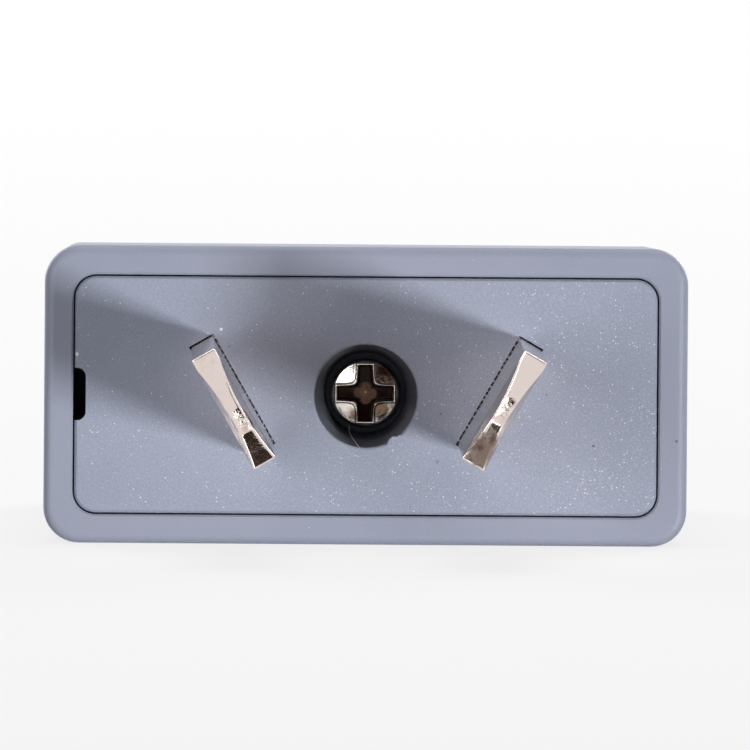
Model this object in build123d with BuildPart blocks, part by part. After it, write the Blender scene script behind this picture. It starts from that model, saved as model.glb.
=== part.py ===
from build123d import *
import os
from math import cos, hypot, radians, sin, tan

os.makedirs("parts", exist_ok=True)

# Plug adapter with two flat pins. The origin is the centre of the pin face, midway
# between the pins. +X is to the right as you look at the pins, +Z is up, the pins point
# along -Y and the body runs along +Y to the socket face. Sizes are in millimetres.

# Standard plug sizes
blade_pitch = 13.7
blade_lean = 30.0  # degrees from upright, lower ends nearer the middle
blade_width = 6.35
blade_thickness = 1.3
blade_length = 17.3
round_pin_pitch = 19.0
flat_pin_pitch = 12.7

# Housing moulding
draft = 1.75  # degrees
rim_wall = 1.5
ledge = 0.6
corner_radius = 1.85
rim_round = 0.5
lip_chamfer = 0.1
back_round = 1.0
cavity_corner = 1.6
end_wall = 2.0
end_gap = 0.8  # from the springs' tips to the end wall
side_room = 2.05  # from the outer spring to the cavity wall
top_room = 2.55  # from the springs' edges to the cavity wall
column_diameter = 5.0
web_thickness = 1.2
rib_thickness = 1.0
rib_lap = 0.4  # how far the ribs reach over the strap's edges

# Socket openings
pin_hole_diameter = 5.0
flat_slot_thickness = 2.2
flat_slot_height = 8.0
hole_lead_in = 0.4

# Base plate
plate_thickness = 2.0
plate_gap = 0.09
plate_corner = 1.1
plate_chamfer = 0.12
slot_gap = 0.06
slot_lead_in = 0.6
spigot_height = 0.9
spigot_wall = 0.6
spigot_gap = 0.1
notch_depth = 0.56
notch_height = 2.7
notch_round = 0.45
pocket_depth = 6.0

# Screw well
well_mouth = 5.35
well_chamfer = 0.08
well_floor = 4.1
well_depth = 4.7
boss_wall = 0.65
boss_floor = 1.5

# Case screw
head_diameter = 3.5
head_height = 1.3
head_slope = 0.6  # how far the head's edge slopes, in two flats
head_fall = 0.2
shank_diameter = 2.0
shank_length = 8.0
shank_gap = 0.15
thread_gap = 0.02
pilot_room = 1.0
recess_span = 3.0
recess_wing = 0.84
recess_depth = 1.0
recess_floor = 0.9

# Blade foot and tip
bend_radius = 0.5
foot_reach = 4.4  # from the blade's middle plane
foot_clip = 1.6  # half the foot's width along its clipped edge
chamfer_length = 1.2
chamfer_depth = 0.33
scallop_half = 3.0
scallop_shift = -0.3

# Contact springs
strap_sheet = 0.5
strap_width = 6.0
strap_bend = 0.65
inner_leaf_room = 0.9  # from the flat pin's middle to the inner spring
outer_leaf_room = 2.35  # from the round pin's middle to the outer spring
inner_bow = 0.4
outer_bow = 0.65
spring_rise = 5.5
bow_rise = 16.5
spring_length = 21.9
spring_curve = 6.0
mouth_flare = 0.6
leaf_sheet = 0.4
leaf_width = 4.8
leaf_bend = 0.6
leaf_room = 1.9  # from the round pin's middle to the middle leaf
leaf_sway = 0.35
leaf_tail = 1.6  # past the rivet

# Rivet
rivet_reach = 2.75  # from the blade's middle towards the side
rivet_diameter = 1.6
rivet_head = 2.6
rivet_head_height = 0.6
rivet_gap = 0.02

# Places worked out from the sizes above
blade_x = blade_pitch / 2
pin_x = round_pin_pitch / 2
flat_x = flat_pin_pitch / 2
rivet_x = blade_x + rivet_reach
foot_top = plate_thickness + blade_thickness
strap_top = foot_top + strap_sheet
cavity_end = foot_top + spring_length + end_gap
body_depth = cavity_end + end_wall
boss_end = well_depth + boss_floor
inner_x = flat_x - inner_leaf_room - strap_sheet / 2
outer_x = pin_x + outer_leaf_room + strap_sheet / 2
cavity_width = 2 * (outer_x + strap_sheet / 2 + side_room)
cavity_height = strap_width + 2 * top_room
recess_width = cavity_width + 2 * ledge
recess_height = cavity_height + 2 * ledge
body_width = recess_width + 2 * rim_wall
body_height = recess_height + 2 * rim_wall
plate_width = recess_width - 2 * plate_gap
plate_height = recess_height - 2 * plate_gap


def across(depth):
    """Plane across the body at a depth behind the pin face: its axes are X and Z."""
    return Plane.XZ.offset(-depth)


def facing_pins(x, depth):
    """Plane for a hole at height zero that is made from the pin side, going in along +Y."""
    return Plane(origin=(x, depth, 0), x_dir=(1, 0, 0), z_dir=(0, -1, 0))


# Housing: drafted shell with the socket holes in its end wall
with BuildPart() as housing:
    with BuildSketch(across(0)):
        RectangleRounded(body_width, body_height, corner_radius)
    extrude(amount=-body_depth, taper=draft)
    fillet(housing.faces().sort_by(Axis.Y)[0].edges(), rim_round)
    fillet(housing.faces().sort_by(Axis.Y)[-1].edges(), back_round)
    with BuildSketch(across(0)):
        RectangleRounded(recess_width, recess_height, plate_corner + plate_gap)
    extrude(amount=-plate_thickness, mode=Mode.SUBTRACT)
    chamfer(housing.faces().sort_by(Axis.Y)[0].inner_wires()[0].edges(), lip_chamfer)
    with BuildSketch(across(plate_thickness)):
        RectangleRounded(cavity_width, cavity_height, cavity_corner)
    extrude(amount=plate_thickness - cavity_end, taper=draft, mode=Mode.SUBTRACT)
    # Column for the screw, and the web that parts the two sides
    with BuildSketch(across(boss_end)):
        Circle(column_diameter / 2)
        Rectangle(web_thickness, cavity_height)
    extrude(amount=boss_end - cavity_end)
    with BuildSketch(across(boss_end)):
        Circle(shank_diameter / 2 + thread_gap)
    extrude(amount=-(well_depth + shank_length + pilot_room - boss_end), mode=Mode.SUBTRACT)
    # Ribs that hold the contact straps down on the blades' feet
    rib_inner = strap_width / 2 - rib_lap
    rib_height = cavity_height / 2 - rib_inner
    rib_z = rib_inner + rib_height / 2
    with BuildSketch(across(strap_top)):
        with Locations((pin_x, rib_z), (pin_x, -rib_z), (-pin_x, rib_z), (-pin_x, -rib_z)):
            Rectangle(rib_thickness, rib_height)
    extrude(amount=strap_top - cavity_end)
    # Round pin holes and flat pin slots, each with a sloping lead-in
    with BuildSketch(across(body_depth)):
        with Locations((pin_x, 0), (-pin_x, 0)):
            Circle(pin_hole_diameter / 2)
        with Locations((flat_x, 0), (-flat_x, 0)):
            Rectangle(flat_slot_thickness, flat_slot_height)
    extrude(amount=end_wall, mode=Mode.SUBTRACT)
    with BuildSketch(across(body_depth)):
        with Locations((pin_x, 0), (-pin_x, 0)):
            Circle(pin_hole_diameter / 2 + hole_lead_in)
    extrude(amount=hole_lead_in, taper=45, mode=Mode.SUBTRACT)
    with BuildSketch(across(body_depth)):
        with Locations((flat_x, 0), (-flat_x, 0)):
            Rectangle(flat_slot_thickness + 2 * hole_lead_in, flat_slot_height + 2 * hole_lead_in)
    extrude(amount=hole_lead_in, taper=45, mode=Mode.SUBTRACT)
    # Pocket behind the base plate's notch
    with BuildSketch(across(plate_thickness)):
        with Locations((-recess_width / 2, 0)):
            Rectangle(ledge + plate_gap, notch_height, align=(Align.MIN, Align.CENTER))
    extrude(amount=-pocket_depth, mode=Mode.SUBTRACT)
housing.part.label = "housing"

# Base plate: carries both blades and the screw well
with BuildPart() as base_plate:
    with BuildSketch(across(0)):
        RectangleRounded(plate_width, plate_height, plate_corner)
    extrude(amount=-plate_thickness)
    chamfer(base_plate.faces().sort_by(Axis.Y)[0].edges(), plate_chamfer)
    # Rib round the back that centres the plate in the housing
    spigot_corner = cavity_corner - spigot_gap
    with BuildSketch(across(plate_thickness)):
        RectangleRounded(
            cavity_width - 2 * spigot_gap, cavity_height - 2 * spigot_gap, spigot_corner
        )
        RectangleRounded(
            cavity_width - 2 * (spigot_gap + spigot_wall),
            cavity_height - 2 * (spigot_gap + spigot_wall),
            spigot_corner - spigot_wall,
            mode=Mode.SUBTRACT,
        )
    extrude(amount=-spigot_height)
    # Boss and tapered well for the screw, turned about the middle
    with BuildSketch(Plane.XY):
        with BuildLine():
            Polyline(
                (0, plate_thickness),
                (well_mouth / 2 + boss_wall, plate_thickness),
                (well_floor / 2 + boss_wall + shank_gap, boss_end),
                (0, boss_end),
                close=True,
            )
        make_face()
    revolve(axis=Axis.Y)
    with BuildSketch(Plane.XY):
        with BuildLine():
            Polyline(
                (0, 0),
                (well_mouth / 2, 0),
                (well_floor / 2, well_depth),
                (shank_diameter / 2 + shank_gap, well_depth),
                (shank_diameter / 2 + shank_gap, boss_end),
                (0, boss_end),
                close=True,
            )
        make_face()
    revolve(axis=Axis.Y, mode=Mode.SUBTRACT)
    mouth_edges = base_plate.edges().filter_by(GeomType.CIRCLE).group_by(Axis.Y)[0]
    chamfer(mouth_edges.sort_by(SortBy.RADIUS)[-1], well_chamfer)
    # Slots for the blades, opened out at the back to clear their bends
    slot_width = blade_width + 2 * slot_gap
    slot_thickness = blade_thickness + 2 * slot_gap
    for side in (1, -1):
        turn = 90 - side * blade_lean
        with BuildSketch(across(0)):
            with Locations((side * blade_x, 0)):
                Rectangle(slot_width, slot_thickness, rotation=turn)
        extrude(amount=-plate_thickness, mode=Mode.SUBTRACT)
        with BuildSketch(across(plate_thickness)):
            with Locations((side * blade_x, 0)):
                Rectangle(
                    slot_width + 2 * slot_lead_in, slot_thickness + 2 * slot_lead_in, rotation=turn
                )
        extrude(amount=slot_lead_in, taper=45, mode=Mode.SUBTRACT)
    # Notch in the left edge, open to the inside
    with BuildSketch(across(0)):
        with BuildLine():
            FilletPolyline(
                (-recess_width / 2, notch_height / 2),
                (notch_depth - plate_width / 2, notch_height / 2),
                (notch_depth - plate_width / 2, -notch_height / 2),
                (-recess_width / 2, -notch_height / 2),
                radius=(0, notch_round, notch_round, 0),
                close=True,
            )
        make_face()
    extrude(amount=-plate_thickness, mode=Mode.SUBTRACT)
    with BuildSketch(across(plate_thickness)):
        with Locations((-recess_width / 2, 0)):
            Rectangle(
                ledge + plate_gap + spigot_gap + spigot_wall,
                notch_height,
                align=(Align.MIN, Align.CENTER),
            )
    extrude(amount=-spigot_height, mode=Mode.SUBTRACT)
base_plate.part.label = "base_plate"

# Cross recess of the screw: two wings that run in to a blunt point
with BuildPart() as cross_recess:
    head_top = well_depth - head_height
    with BuildSketch(across(head_top)):
        Rectangle(recess_span, recess_wing)
        Rectangle(recess_wing, recess_span)
    extrude(amount=-recess_depth)
    with Locations(Plane(origin=(0, head_top + recess_depth / 2, 0), z_dir=(0, 1, 0))):
        Cone(recess_span / 2, recess_floor / 2, recess_depth, mode=Mode.INTERSECT)

# Case screw: pan head in the well, shank in the housing's column
with BuildPart() as case_screw:
    screw_end = well_depth + shank_length
    shank_radius = shank_diameter / 2
    with BuildSketch(Plane.XY):
        with BuildLine():
            Polyline(
                (0, head_top),
                (head_diameter / 2 - head_slope, head_top),
                (head_diameter / 2 - head_fall, head_top + head_fall),
                (head_diameter / 2, head_top + head_slope),
                (head_diameter / 2, well_depth),
                (shank_radius, well_depth),
                (shank_radius, screw_end - shank_radius / 2),
                (shank_radius / 2, screw_end),
                (0, screw_end),
                close=True,
            )
        make_face()
    revolve(axis=Axis.Y)
    add(cross_recess.part, mode=Mode.SUBTRACT)
case_screw.part.label = "case_screw"

# The right-hand blade stands in blade_plane, which has its local x up the blade's width,
# its local y towards the middle of the body and its local z out to the tip. Its fold is
# drawn in fold_plane, which has its local x outwards and its local y along +Y.
lean = radians(blade_lean)
blade_plane = Plane(origin=(blade_x, 0, 0), x_dir=(sin(lean), 0, cos(lean)), z_dir=(0, -1, 0))
fold_plane = Plane(
    origin=(blade_x, 0, 0), x_dir=(cos(lean), 0, -sin(lean)), z_dir=(sin(lean), 0, cos(lean))
)

# Blade: flat pin with a foot folded outwards behind the plate
with BuildPart() as blade:
    half = blade_thickness / 2
    with BuildSketch(fold_plane):
        with BuildLine():
            FilletPolyline(
                (-half, -blade_length),
                (-half, foot_top),
                (foot_reach, foot_top),
                (foot_reach, plate_thickness),
                (half, plate_thickness),
                (half, -blade_length),
                radius=(0, bend_radius + blade_thickness, 0, 0, bend_radius, 0),
                close=True,
            )
        make_face()
    extrude(amount=blade_width / 2, both=True)
    # Clipped corner that keeps the foot inside the cavity
    with BuildSketch(blade_plane.offset(-foot_top)):
        with BuildLine():
            Polyline(
                (-blade_width / 2, -half - bend_radius),
                (-foot_clip, -foot_reach),
                (-blade_width / 2, -foot_reach),
                close=True,
            )
        make_face()
    extrude(amount=blade_thickness, mode=Mode.SUBTRACT)
    # Hollowed chamfers on both broad sides of the tip
    slope = hypot(chamfer_length, chamfer_depth)
    scallop_cut = chamfer_length * chamfer_depth / slope
    scallop_radius = (scallop_half**2 + scallop_cut**2) / (2 * scallop_cut)
    for side in (1, -1):
        outward = Vector(0, side * chamfer_length / slope, chamfer_depth / slope)
        along = Vector(0, -side * chamfer_depth / slope, chamfer_length / slope)
        bottom = Vector(
            scallop_shift, side * (half - chamfer_depth / 2), blade_length - chamfer_length / 2
        )
        hollow = Plane(origin=bottom + outward * scallop_radius, z_dir=along)
        with Locations(blade_plane.location * hollow.location):
            Cylinder(scallop_radius, 4 * chamfer_length, mode=Mode.SUBTRACT)
    with Locations(facing_pins(rivet_x, plate_thickness)):
        CounterSinkHole(rivet_diameter / 2 + rivet_gap, rivet_head / 2 + rivet_gap)

# Contact strap: folded brass sheet with an inner and an outer spring
with BuildPart() as contact_strap:
    base_y = foot_top + strap_sheet / 2
    with BuildSketch(Plane.XY.offset(-strap_width / 2)):
        with BuildLine():
            FilletPolyline(
                (inner_x + inner_bow - mouth_flare, foot_top + spring_length),
                (inner_x + inner_bow, foot_top + bow_rise),
                (inner_x, foot_top + spring_rise),
                (inner_x, base_y),
                (outer_x, base_y),
                (outer_x, foot_top + spring_rise),
                (outer_x - outer_bow, foot_top + bow_rise),
                (outer_x - outer_bow + mouth_flare, foot_top + spring_length),
                radius=(spring_curve, spring_curve, strap_bend, strap_bend, spring_curve, spring_curve),
            )
        trace(line_width=strap_sheet)
    extrude(amount=strap_width)
    with Locations(facing_pins(rivet_x, foot_top)):
        Hole(rivet_diameter / 2 + rivet_gap)

# Middle leaf: thin spring that stands between the round and the flat pin's places
with BuildPart() as middle_leaf:
    leaf_x = pin_x - leaf_room - leaf_sheet / 2
    leaf_y = strap_top + leaf_sheet / 2
    with BuildSketch(Plane.XY.offset(-leaf_width / 2)):
        with BuildLine():
            FilletPolyline(
                (rivet_x + leaf_tail, leaf_y),
                (leaf_x, leaf_y),
                (leaf_x + leaf_sway / 2, foot_top + (spring_rise + bow_rise) / 2),
                (leaf_x - leaf_sway, foot_top + bow_rise),
                (leaf_x - leaf_sway / 2, foot_top + spring_length),
                radius=(leaf_bend, spring_curve, spring_curve),
            )
        trace(line_width=leaf_sheet)
    extrude(amount=leaf_width)
    with Locations(facing_pins(rivet_x, strap_top)):
        Hole(rivet_diameter / 2 + rivet_gap)

# Rivet: countersunk under the foot, its head closed over the middle leaf
with BuildPart() as contact_rivet:
    stack_top = strap_top + leaf_sheet
    sink = (rivet_head - rivet_diameter) / 2
    with BuildSketch(Plane.XY):
        with BuildLine():
            Polyline(
                (rivet_x, plate_thickness),
                (rivet_x + rivet_head / 2, plate_thickness),
                (rivet_x + rivet_diameter / 2, plate_thickness + sink),
                (rivet_x + rivet_diameter / 2, stack_top),
                (rivet_x + rivet_head / 2, stack_top),
                (rivet_x + rivet_head / 2, stack_top + rivet_head_height / 3),
                (rivet_x + rivet_diameter / 2, stack_top + rivet_head_height),
                (rivet_x, stack_top + rivet_head_height),
                close=True,
            )
        make_face()
    revolve(axis=Axis((rivet_x, 0, 0), (0, 1, 0)))

for piece in (housing, base_plate, case_screw):
    export_step(piece.part, f"parts/{piece.part.label}.step")

# What is made for the right-hand side is mirrored for the left
sided = {
    "blade": blade,
    "contact_strap": contact_strap,
    "middle_leaf": middle_leaf,
    "contact_rivet": contact_rivet,
}
for name, right in sided.items():
    with BuildPart() as left:
        mirror(right.part, about=Plane.YZ)
    right.part.label = f"{name}_right"
    left.part.label = f"{name}_left"
    export_step(right.part, f"parts/{name}_right.step")
    export_step(left.part, f"parts/{name}_left.step")
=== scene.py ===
"""Looks of a plug adapter with two slanted flat pins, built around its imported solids.

Lengths are in millimetres in the row's own frame, and become metres when a mesh is made.
The pin face lies at y = 0, the flat pins point along -Y and the body runs along +Y.
"""

import logging
import math
from dataclasses import dataclass, field
from enum import Enum

import bpy
import numpy as np
from mathutils import Matrix, Vector

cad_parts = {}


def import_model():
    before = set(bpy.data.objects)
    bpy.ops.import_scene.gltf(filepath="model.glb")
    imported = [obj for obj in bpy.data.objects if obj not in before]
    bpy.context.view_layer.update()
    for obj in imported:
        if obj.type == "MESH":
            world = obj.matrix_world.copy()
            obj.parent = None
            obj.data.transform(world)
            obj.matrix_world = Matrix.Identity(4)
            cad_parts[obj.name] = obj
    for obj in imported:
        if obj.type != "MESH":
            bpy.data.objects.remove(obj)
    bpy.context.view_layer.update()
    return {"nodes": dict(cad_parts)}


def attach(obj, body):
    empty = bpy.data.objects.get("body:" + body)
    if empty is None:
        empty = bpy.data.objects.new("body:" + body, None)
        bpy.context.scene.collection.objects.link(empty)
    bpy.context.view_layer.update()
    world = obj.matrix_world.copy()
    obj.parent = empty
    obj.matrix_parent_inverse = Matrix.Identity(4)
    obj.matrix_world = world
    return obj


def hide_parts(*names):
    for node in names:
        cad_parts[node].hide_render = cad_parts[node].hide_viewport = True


LOG = logging.getLogger("plug_adapter")
MM = 0.001
BODY = "root"

Colour = tuple[float, float, float]
Place = tuple[float, float, float]
Range = tuple[float, float]
Socket = bpy.types.NodeSocket


class Side(Enum):
    """Which half of the adapter a piece belongs to, as the sign of its X."""

    LEFT = -1
    RIGHT = 1

    @property
    def word(self) -> str:
        """The side's name in lower case."""
        return self.name.lower()


class Slot(Enum):
    """Names of material slots for the new pieces; nothing in this script uses them."""

    PLATE = "plate_plastic"
    BLADE = "nickelled_brass"
    SCREW = "plated_steel"


# Meshes from arrays


def signed_volume(points: np.ndarray, quads: np.ndarray) -> float:
    """Six times the volume inside a closed shell, from the sum of its corner products.

    Args:
        points: Vertices, N by 3.
        quads: Vertex indices, M by 4.

    Returns:
        The sum, positive when the faces point outwards.
    """
    a, b, c, d = (points[quads[:, i]] for i in range(4))
    first = np.einsum("ij,ij->i", a, np.cross(b, c))
    second = np.einsum("ij,ij->i", a, np.cross(c, d))
    return float(first.sum() + second.sum())


def make_piece(
    name: str, points: np.ndarray, quads: np.ndarray, smooth_angle: float = 35.0
) -> bpy.types.Object:
    """Makes a mesh object from arrays, with its faces outwards and its object at the origin.

    Args:
        name: The piece's name.
        points: Vertices in millimetres, N by 3.
        quads: Vertex indices, M by 4; two equal indices in a row make a triangle.
        smooth_angle: Edges sharper than this many degrees stay sharp.

    Returns:
        The new object, linked to the scene.
    """
    if signed_volume(points, quads) < 0:
        quads = quads[:, ::-1]
    faces = [tuple(dict.fromkeys(face)) for face in quads.tolist()]
    mesh = bpy.data.meshes.new(name)
    mesh.from_pydata((points * MM).tolist(), [], faces)
    mesh.polygons.foreach_set("use_smooth", np.ones(len(faces), dtype=bool))
    mesh.set_sharp_from_angle(angle=math.radians(smooth_angle))
    mesh.update()
    piece = bpy.data.objects.new(name, mesh)
    bpy.context.scene.collection.objects.link(piece)
    return piece


def block_surface(filled: np.ndarray) -> tuple[np.ndarray, np.ndarray]:
    """Surface of a block of cells: a quad wherever a filled cell meets an empty one.

    Args:
        filled: Booleans, one for each cell of the block.

    Returns:
        The lattice indices of the used corners, N by 3, and the quads, M by 4.
    """
    padded = np.pad(filled, 1)
    corners = []
    for axis in range(3):
        others = [i for i in range(3) if i != axis]
        before = np.take(padded, range(padded.shape[axis] - 1), axis)
        after = np.take(padded, range(1, padded.shape[axis]), axis)
        for solid_first in (True, False):
            wall = (before & ~after) if solid_first else (after & ~before)
            cells = np.argwhere(wall)
            base = cells.copy()
            base[:, others[0]] -= 1
            base[:, others[1]] -= 1
            ring = []
            for step_a, step_b in ((0, 0), (1, 0), (1, 1), (0, 1)):
                corner = base.copy()
                corner[:, others[0]] += step_a
                corner[:, others[1]] += step_b
                ring.append(corner)
            turns_right = solid_first == (axis != 1)
            corners.append(np.stack(ring if turns_right else ring[::-1], axis=1))
    quads = np.concatenate(corners)
    flat = quads.reshape(-1, 3)
    used, inverse = np.unique(flat, axis=0, return_inverse=True)
    return used, inverse.reshape(-1, 4)


def closed_turning(points: np.ndarray) -> tuple[np.ndarray, np.ndarray]:
    """Closes a grid of rings round an axis: the first and last ring each shrink to one pole.

    Args:
        points: Rings by steps round by 3. All points of the first and last ring are equal.

    Returns:
        Vertices and quads, where the cells at the poles are triangles.
    """
    rings, around, _ = points.shape
    inner = points[1:-1].reshape(-1, 3)
    vertices = np.concatenate([points[:1, 0], inner, points[-1:, 0]])
    index = np.zeros((rings, around), dtype=int)
    index[1:-1] = 1 + np.arange((rings - 2) * around).reshape(rings - 2, around)
    index[-1] = len(vertices) - 1
    turned = np.roll(index, -1, axis=1)
    quads = np.stack([index[:-1], turned[:-1], turned[1:], index[1:]], axis=-1).reshape(-1, 4)
    return vertices, quads


def smooth_step(value: np.ndarray) -> np.ndarray:
    """Runs from 0 to 1 with level ends: three times the square less twice the cube."""
    held = np.clip(value, 0.0, 1.0)
    return held * held * (3.0 - 2.0 * held)


# Materials


class Graph:
    """A material's nodes, added and joined by name."""

    def __init__(self, name: str) -> None:
        """Starts an empty material.

        Args:
            name: The material's name.
        """
        self.material = bpy.data.materials.new(name)
        self.material.use_nodes = True
        self.tree = self.material.node_tree
        self.tree.nodes.clear()
        self.output = self.tree.nodes.new("ShaderNodeOutputMaterial")
        self.place = self.tree.nodes.new("ShaderNodeTexCoord").outputs["Object"]

    def join(self, target: Socket, value: object) -> None:
        """Gives a socket a value or a link.

        Args:
            target: The input socket.
            value: A number, a tuple or an output socket.
        """
        if isinstance(value, Socket):
            self.tree.links.new(value, target)
        elif value is not None:
            target.default_value = value

    def add(
        self, kind: str, inputs: dict[str | int, object] | None = None, **settings: object
    ) -> bpy.types.Node:
        """Adds a node.

        Args:
            kind: The node's type without its ShaderNode prefix.
            inputs: Socket name or index to value or output socket.
            settings: The node's own attributes.

        Returns:
            The new node.
        """
        node = self.tree.nodes.new("ShaderNode" + kind)
        for key, value in settings.items():
            setattr(node, key, value)
        for key, value in (inputs or {}).items():
            self.join(node.inputs[key], value)
        return node

    def math(self, operation: str, first: object, second: object = None, clamp: bool = False) -> Socket:
        """Works out a number from one or two others.

        Args:
            operation: The Math node's operation.
            first: A number or an output socket.
            second: A number or an output socket, where the operation takes two.
            clamp: Whether the result is kept between 0 and 1.

        Returns:
            The result's socket.
        """
        return self.add("Math", {0: first, 1: second}, operation=operation, use_clamp=clamp).outputs[0]

    def times(self, *values: object) -> Socket:
        """Multiplies numbers and sockets, from left to right.

        Args:
            values: Two or more numbers or output sockets.

        Returns:
            The product's socket.
        """
        product = values[0]
        for value in values[1:]:
            product = self.math("MULTIPLY", product, value)
        return product

    def noise(
        self, scale: float, detail: float = 2.0, roughness: float = 0.5, where: object = None
    ) -> Socket:
        """Soft random values in space.

        Args:
            scale: Features to a millimetre.
            detail: How many finer layers are added.
            roughness: How strong the finer layers are.
            where: The coordinates, or None for the object's own.

        Returns:
            The value's socket.
        """
        inputs = {"Vector": where or self.place, "Scale": scale / MM}
        inputs |= {"Detail": detail, "Roughness": roughness}
        return self.add("TexNoise", inputs).outputs["Fac"]

    def ramp(self, value: object, stops: list[tuple[float, Colour]]) -> Socket:
        """Turns a number into a colour.

        Args:
            value: The number's socket.
            stops: Positions and colours, in order.

        Returns:
            The colour's socket.
        """
        node = self.add("ValToRGB", {"Fac": value})
        while len(node.color_ramp.elements) < len(stops):
            node.color_ramp.elements.new(0.5)
        for element, (position, colour) in zip(node.color_ramp.elements, stops):
            element.position = position
            element.color = (*colour, 1.0)
        return node.outputs["Color"]

    def spread(
        self, value: object, low: float, high: float, to_low: float = 0.0, to_high: float = 1.0
    ) -> Socket:
        """Maps part of a number's range onto another, and holds it there.

        Args:
            value: The number's socket.
            low: Where the range starts.
            high: Where it ends.
            to_low: What the start becomes.
            to_high: What the end becomes.

        Returns:
            The result's socket.
        """
        inputs = {"Value": value, "From Min": low, "From Max": high, "To Min": to_low, "To Max": to_high}
        return self.add("MapRange", inputs, clamp=True).outputs["Result"]

    def near(
        self, place: Place, radius: float, edge: float, peak: float = 1.0, rags: float = 0.0
    ) -> Socket:
        """A soft spot round a place.

        Args:
            place: The spot's middle in millimetres.
            radius: Where the spot ends.
            edge: Where its fall starts, as a share of the radius.
            peak: Its value in the middle.
            rags: How far its outline strays in and out, in millimetres.

        Returns:
            The value's socket.
        """
        centre = tuple(c * MM for c in place)
        far = self.add("VectorMath", {0: self.place, 1: centre}, operation="DISTANCE").outputs["Value"]
        if rags > 0.0:
            stray = self.math("SUBTRACT", self.noise(3.4, 3.0, 0.6), 0.5)
            far = self.math("ADD", far, self.times(stray, 4.0 * rags * MM))
        return self.spread(far, radius * edge * MM, radius * MM, peak, 0.0)

    def blend(self, factor: object, first: object, second: object) -> Socket:
        """Mixes two colours.

        Args:
            factor: Share of the second.
            first: A colour or its socket.
            second: A colour or its socket.

        Returns:
            The mixed colour's socket.
        """
        node = self.add("Mix", data_type="RGBA")
        self.join(node.inputs[0], factor)
        for index, colour in ((6, first), (7, second)):
            self.join(node.inputs[index], (*colour, 1.0) if isinstance(colour, tuple) else colour)
        return node.outputs[2]

    def bump(self, height: object, depth: float, strength: float = 1.0, over: object = None) -> Socket:
        """Tilts the surface's normal by a height.

        Args:
            height: The height's socket, 0 to 1.
            depth: What a height of 1 stands for, in millimetres.
            strength: Share of the tilt that is used.
            over: A normal to start from.

        Returns:
            The normal's socket.
        """
        inputs = {"Height": height, "Distance": depth * MM, "Strength": strength, "Normal": over}
        return self.add("Bump", inputs).outputs["Normal"]

    def end(self, shader: bpy.types.Node) -> bpy.types.Material:
        """Joins the last shader to the output and returns the material."""
        self.tree.links.new(shader.outputs[0], self.output.inputs["Surface"])
        return self.material

    def finish(self, **inputs: object) -> bpy.types.Material:
        """Adds the surface shader and ends the material.

        Args:
            inputs: The shader's sockets, with underscores for spaces.

        Returns:
            The material.
        """
        named = {key.replace("_", " "): value for key, value in inputs.items()}
        return self.end(self.add("BsdfPrincipled", named))


def shade(colour: Colour, factor: float) -> Colour:
    """A colour made lighter or darker."""
    return tuple(min(1.0, channel * factor) for channel in colour)


BROWN: Colour = (0.16, 0.07, 0.03)
BLACK: Colour = (0.01, 0.01, 0.012)
PALE: Colour = (0.95, 0.96, 1.0)

# Middles of the lobes of the blunt point in the screw's recess, across and up, where it is painted lighter
POINT_LOBES = ((0.0, 0.0), (-0.3, 0.02), (0.31, -0.04), (0.02, 0.28), (0.03, -0.3))


@dataclass(frozen=True)
class Mark:
    """A speck, nick or stain round one place, or a spot of painted light or reflection."""

    place: Place
    radius: float
    colour: Colour
    strength: float = 0.8
    edge: float = 0.55  # where its edge starts to fade, as a share of the radius
    film: bool = False  # whether it hides the metal under it
    rags: float = 0.0  # how far its outline strays

    def share(self, graph: Graph) -> Socket:
        """How strongly the mark covers each point."""
        return graph.near(self.place, self.radius, self.edge, self.strength, self.rags)

    def paint(self, graph: Graph, under: Socket) -> Socket:
        """Lays the mark over a colour."""
        return graph.blend(self.share(graph), under, self.colour)


@dataclass(frozen=True)
class Tear:
    """A place where the punch tore the metal, so that it is rough and sparkles."""

    place: Place
    radius: float = 0.8
    depth: float = 0.05
    scale: float = 3.2  # rags to a millimetre
    blur: float = 0.0  # roughness that it adds

    def tilt(self, graph: Graph, normal: Socket) -> Socket:
        """Tilts a normal by ragged noise that fades out round the place."""
        share = graph.near(self.place, self.radius, 0.3)
        rags = graph.times(graph.noise(self.scale, 3.0, 0.55), share)
        return graph.bump(rags, self.depth, 1.0, normal)

    def roughen(self, graph: Graph, rough: Socket) -> Socket:
        """Adds the place's blur to a roughness, in patches."""
        share = graph.near(self.place, self.radius, 0.6, self.blur)
        patches = graph.spread(graph.noise(1.9, 2.0), 0.35, 0.6, 0.3, 1.0)
        return graph.math("ADD", rough, graph.times(share, patches))


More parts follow.
